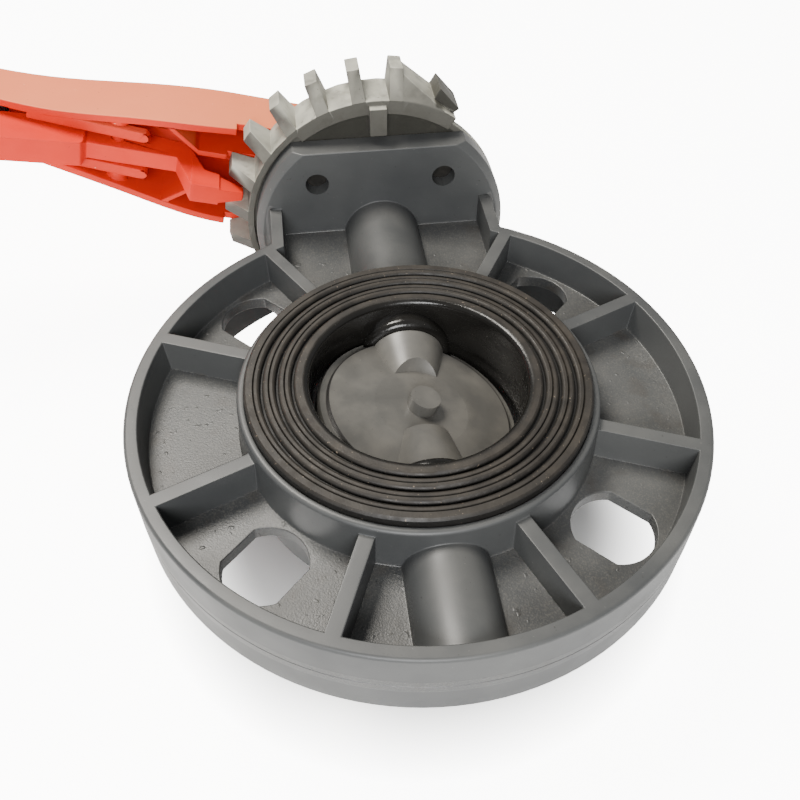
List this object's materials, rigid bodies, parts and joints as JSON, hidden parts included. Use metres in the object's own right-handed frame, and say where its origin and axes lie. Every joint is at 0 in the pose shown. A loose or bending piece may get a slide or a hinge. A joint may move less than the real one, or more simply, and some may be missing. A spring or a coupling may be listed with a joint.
{
  "type": "butterfly valve",
  "caption": "Plastic wafer butterfly valve with a ribbed ring body, ridged rubber liner, turning disc, toothed index plate and a red lever handle with a squeeze trigger.",
  "frame": {"origin": "centre of the bore, on the middle plane of the body", "axes": "+Z along the pipe, +Y along the stem towards the lever, +X completes the right-handed frame; the lever points towards -X"},
  "size_m": [0.3113, 0.255, 0.1191],
  "materials": {
    "body_plastic": "satin moulded UPVC",
    "liner_rubber": "dull with a glossy bore",
    "backing_plastic": "matte",
    "disc_plastic": "smooth moulded",
    "steel": "machined",
    "bush_plastic": "matte",
    "seal_rubber": "matte",
    "plate_plastic": "dusty moulded plastic",
    "handle_plastic": "satin moulded plastic",
    "cap_plastic": "satin",
    "trigger_plastic": "satin moulded plastic",
    "spring_steel": "black"
  },
  "bodies": {
    "valve_body": {"body": "body_plastic", "liner": "liner_rubber", "liner_backing_ring": "backing_plastic", "stem_bush_upper": "bush_plastic", "stem_bush_lower": "bush_plastic", "stem_seals": "seal_rubber", "stem_thrust_pad": "bush_plastic", "index_plate": "plate_plastic", "plate_screws": "steel", "plate_washers": "steel"},
    "rotor": {"disc": "disc_plastic", "stem": "steel", "stem_circlip": "steel", "handle": "handle_plastic", "handle_washer": "steel", "handle_screw": "steel", "handle_cap": "cap_plastic", "trigger_pin": "cap_plastic", "trigger_spring": "spring_steel"},
    "trigger": {"trigger": "trigger_plastic"}
  },
  "joints": [
    {"name": "valve_turn", "type": "hinge", "parent": "valve_body", "child": "rotor", "pos_m": [0, 0, 0], "axis": [0, 1, 0], "range_deg": [-15, 75]},
    {"name": "trigger_squeeze", "type": "hinge", "parent": "rotor", "child": "trigger", "pos_m": [-0.10242, 0.1355, 0.02744], "axis": [-0.2588, 0, -0.9659], "range_deg": [0, 12], "stiffness_Nm_per_rad": 2, "springref_deg": -5.73}
  ]
}
